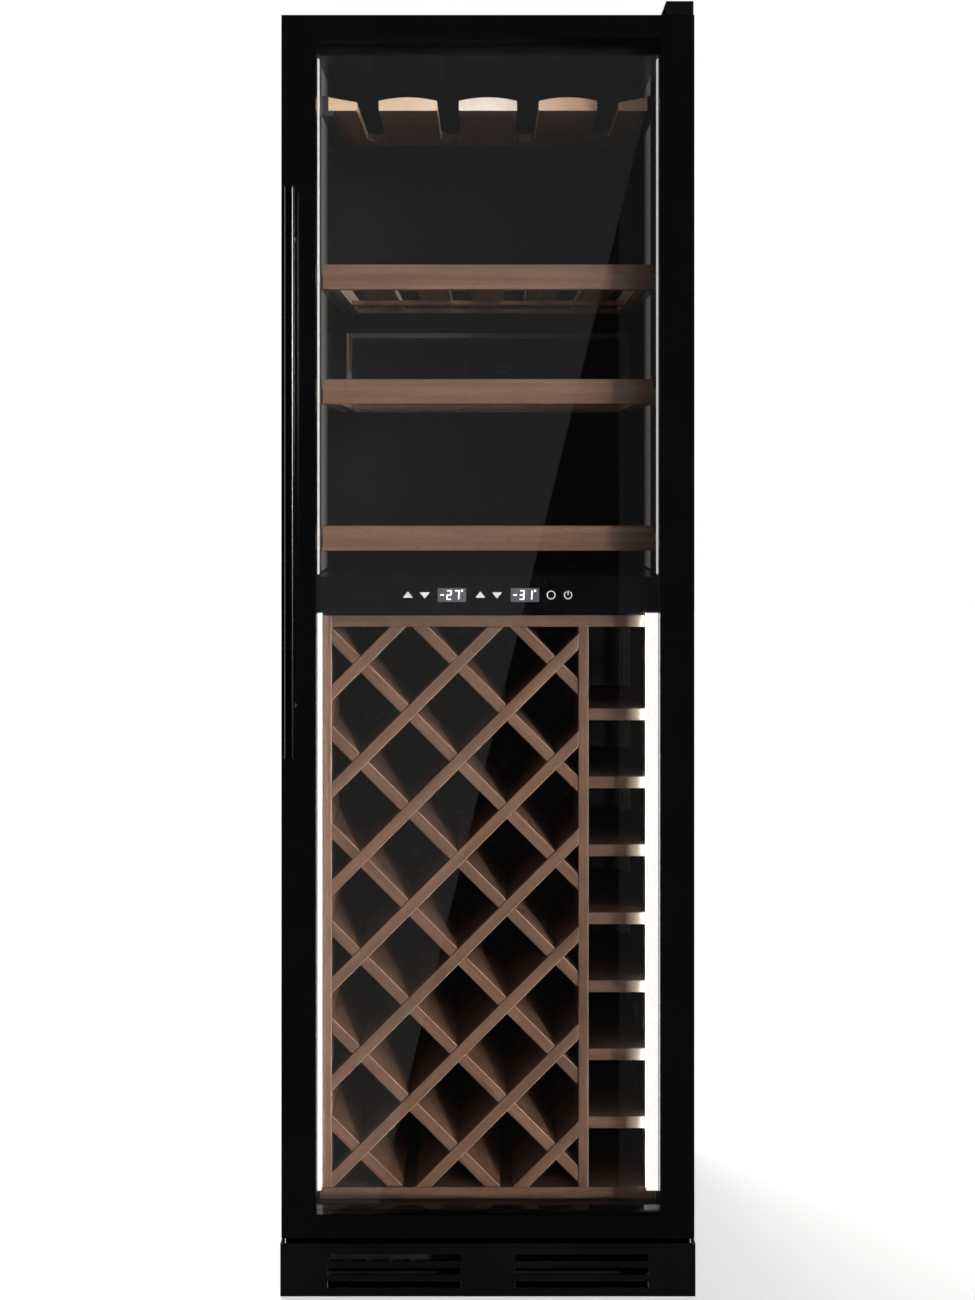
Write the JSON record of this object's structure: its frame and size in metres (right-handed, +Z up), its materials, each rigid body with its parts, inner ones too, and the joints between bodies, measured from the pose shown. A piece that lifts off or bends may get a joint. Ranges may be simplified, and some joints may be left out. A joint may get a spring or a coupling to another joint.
{
  "type": "built-in wine cooler",
  "caption": "Tall two-zone built-in wine cooler with a hinged glass door, sliding shelves, a hanging-glass rack and a diamond bottle rack.",
  "frame": {"origin": "on the floor, under the middle of the whole cooler", "axes": "+Z up, -Y to the front where the door is, +X to the right as one faces the door"},
  "size_m": [0.595, 0.683, 1.86],
  "materials": {
    "cabinet_paint": "satin",
    "zinc_steel": "satin",
    "liner_plastic": "matte",
    "rigid_foam": "matte",
    "gloss_black": "gloss",
    "circuit_board": "satin",
    "black_plastic": "matte",
    "grey_plastic": "matte",
    "compressor_paint": "gloss",
    "seal_rubber": "matte",
    "copper_tube": "satin",
    "fin_aluminium": "satin",
    "light_diffuser": "satin",
    "beech_wood": "satin",
    "tinted_glass": "polished",
    "clear_glass": "polished",
    "black_aluminium": "satin"
  },
  "bodies": {
    "cabinet": {"outer_panels": "cabinet_paint", "rear_panel": "zinc_steel", "inner_liner": "liner_plastic", "insulation_foam": "rigid_foam", "control_fascia": "gloss_black", "display_board": "circuit_board", "base_pan": "zinc_steel", "kick_plate": "cabinet_paint", "compressor": "compressor_paint", "compressor_grommets": "seal_rubber", "condenser_coil": "compressor_paint", "condenser_fan_frame": "black_plastic", "refrigerant_pipes": "copper_tube", "evaporators": "fin_aluminium", "upper_duct_panel": "liner_plastic", "lower_duct_panel": "liner_plastic", "evaporator_fan_frames": "black_plastic", "drip_tray": "black_plastic", "drain_tube": "grey_plastic", "main_control_box": "grey_plastic", "power_inlet": "black_plastic", "machine_cover": "zinc_steel", "temperature_sensors": "grey_plastic", "upper_light_bars": "light_diffuser", "lower_light_strips": "light_diffuser", "glass_rack": "beech_wood", "glass_rack_rails": "black_plastic", "runner_channels": "zinc_steel", "rack_frame": "beech_wood", "lattice_rising_boards": "beech_wood", "lattice_falling_boards": "beech_wood", "cubby_shelves": "beech_wood", "upper_hinge_bracket": "cabinet_paint", "lower_hinge_bracket": "cabinet_paint", "hinge_cap": "black_plastic", "hinge_screws": "zinc_steel"},
    "door": {"door_outer_glass": "tinted_glass", "door_inner_glass": "clear_glass", "door_frame": "black_aluminium", "door_gasket": "seal_rubber", "handle_bar": "black_aluminium", "handle_posts": "zinc_steel", "door_hinge_bushes": "grey_plastic"},
    "shelf_1": {"shelf_1_front": "beech_wood", "shelf_1_deck": "beech_wood", "shelf_1_slides": "zinc_steel"},
    "shelf_2": {"shelf_2_front": "beech_wood", "shelf_2_deck": "beech_wood", "shelf_2_slides": "zinc_steel", "bottle_rest": "beech_wood"},
    "shelf_3": {"shelf_3_front": "beech_wood", "shelf_3_deck": "beech_wood", "shelf_3_slides": "zinc_steel"},
    "upper_fan": {"upper_fan_rotor": "black_plastic"},
    "lower_fan": {"lower_fan_rotor": "black_plastic"},
    "condenser_fan": {"condenser_fan_rotor": "black_plastic"},
    "front_left_foot": {"foot_front_left": "black_plastic"},
    "front_right_foot": {"foot_front_right": "black_plastic"},
    "rear_left_foot": {"foot_rear_left": "black_plastic"},
    "rear_right_foot": {"foot_rear_right": "black_plastic"}
  },
  "joints": [
    {"name": "door_hinge", "type": "hinge", "parent": "cabinet", "child": "door", "pos_m": [0.2865, -0.2935, 0.96], "axis": [0, 0, 1], "range_deg": [0, 120]},
    {"name": "shelf_1_slide", "type": "slide", "parent": "cabinet", "child": "shelf_1", "axis": [0, -1, 0], "range_m": [0, 0.3]},
    {"name": "shelf_2_slide", "type": "slide", "parent": "cabinet", "child": "shelf_2", "axis": [0, -1, 0], "range_m": [0, 0.3]},
    {"name": "shelf_3_slide", "type": "slide", "parent": "cabinet", "child": "shelf_3", "axis": [0, -1, 0], "range_m": [0, 0.3]},
    {"name": "upper_fan_spin", "type": "hinge", "parent": "cabinet", "child": "upper_fan", "pos_m": [0, 0.252, 1.385], "axis": [0, -1, 0], "continuous": true},
    {"name": "lower_fan_spin", "type": "hinge", "parent": "cabinet", "child": "lower_fan", "pos_m": [0, 0.252, 0.88], "axis": [0, -1, 0], "continuous": true},
    {"name": "condenser_fan_spin", "type": "hinge", "parent": "cabinet", "child": "condenser_fan", "pos_m": [0.017, 0.239, 0.096], "axis": [1, 0, 0], "continuous": true},
    {"name": "front_left_foot_screw", "type": "hinge", "parent": "cabinet", "child": "front_left_foot", "pos_m": [-0.25, -0.2235, 0.02], "axis": [0, 0, 1], "continuous": true},
    {"name": "front_right_foot_screw", "type": "hinge", "parent": "cabinet", "child": "front_right_foot", "pos_m": [0.25, -0.2235, 0.02], "axis": [0, 0, 1], "continuous": true},
    {"name": "rear_left_foot_screw", "type": "hinge", "parent": "cabinet", "child": "rear_left_foot", "pos_m": [-0.25, 0.3015, 0.02], "axis": [0, 0, 1], "continuous": true},
    {"name": "rear_right_foot_screw", "type": "hinge", "parent": "cabinet", "child": "rear_right_foot", "pos_m": [0.25, 0.3015, 0.02], "axis": [0, 0, 1], "continuous": true}
  ],
  "couplings": [
    {"joint": "shelf_1_slide", "follows": "door_hinge", "m_per_rad": 0.0716},
    {"joint": "shelf_2_slide", "follows": "door_hinge", "m_per_rad": 0.0716},
    {"joint": "shelf_3_slide", "follows": "door_hinge", "m_per_rad": 0.0716}
  ]
}
